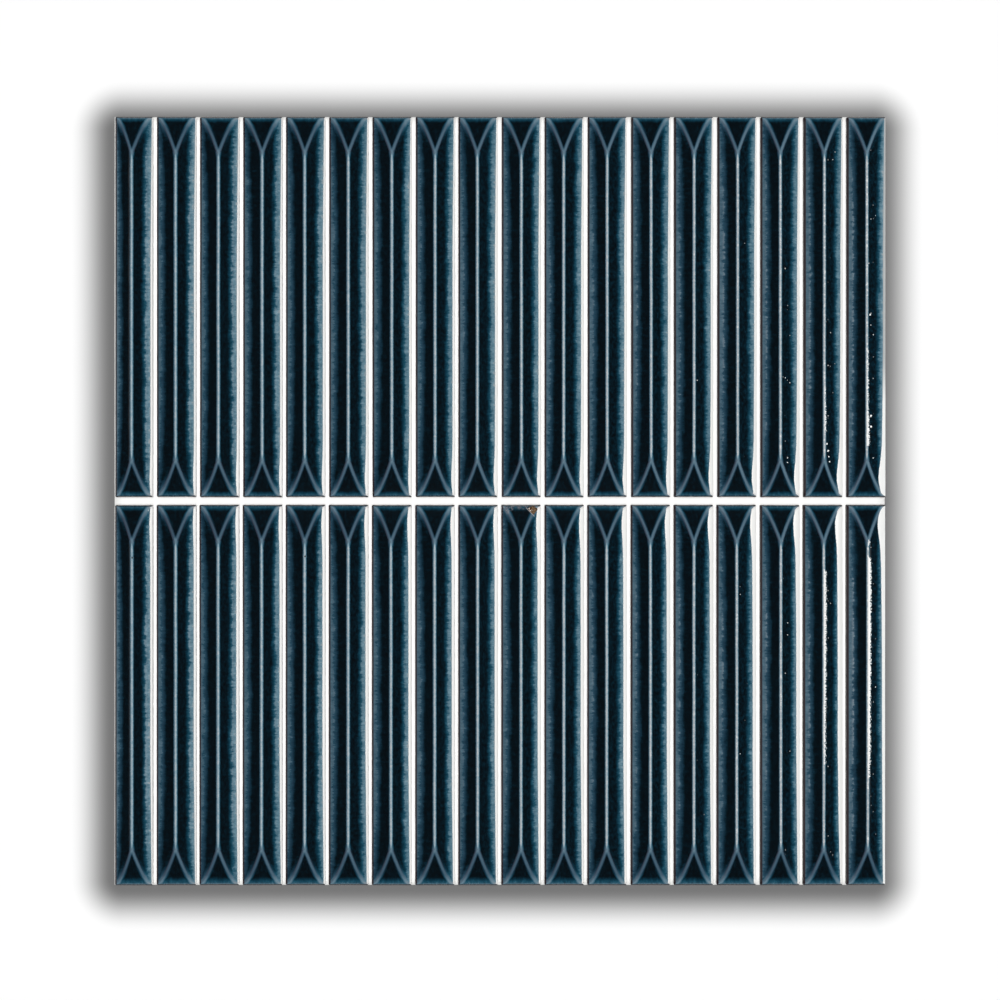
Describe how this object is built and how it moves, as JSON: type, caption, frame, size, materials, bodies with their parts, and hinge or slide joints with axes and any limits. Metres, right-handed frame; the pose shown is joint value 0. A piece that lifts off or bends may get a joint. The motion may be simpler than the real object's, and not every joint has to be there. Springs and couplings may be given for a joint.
{
  "type": "finger mosaic tile",
  "caption": "Square mosaic sheet of slim glazed ceramic fingers, each with a lengthwise ridge and hipped, hollowed ends, on a thin white backing that is bonded to a wall.",
  "frame": {"origin": "middle of the back of the sheet, on the plane that is bonded to the wall", "axes": "+Z out of the back towards the glazed face, +X across the columns of fingers, +Y along the fingers towards the upper row"},
  "size_m": [0.2954, 0.2942, 0.008],
  "materials": {
    "glaze": "gloss translucent petrol glaze, near black where it pools and pale grey on the ridges",
    "backing": "matt white"
  },
  "bodies": {
    "root": {"backing_sheet": "backing", "finger_r1_c01": "glaze", "finger_r1_c02": "glaze", "finger_r1_c03": "glaze", "finger_r1_c04": "glaze", "finger_r1_c05": "glaze", "finger_r1_c06": "glaze", "finger_r1_c07": "glaze", "finger_r1_c08": "glaze", "finger_r1_c09": "glaze", "finger_r1_c10": "glaze", "finger_r1_c11": "glaze", "finger_r1_c12": "glaze", "finger_r1_c13": "glaze", "finger_r1_c14": "glaze", "finger_r1_c15": "glaze", "finger_r1_c16": "glaze", "finger_r1_c17": "glaze", "finger_r1_c18": "glaze", "finger_r2_c01": "glaze", "finger_r2_c02": "glaze", "finger_r2_c03": "glaze", "finger_r2_c04": "glaze", "finger_r2_c05": "glaze", "finger_r2_c06": "glaze", "finger_r2_c07": "glaze", "finger_r2_c08": "glaze", "finger_r2_c09": "glaze", "finger_r2_c10": "glaze", "finger_r2_c11": "glaze", "finger_r2_c12": "glaze", "finger_r2_c13": "glaze", "finger_r2_c14": "glaze", "finger_r2_c15": "glaze", "finger_r2_c16": "glaze", "finger_r2_c17": "glaze", "finger_r2_c18": "glaze"}
  },
  "joints": []
}
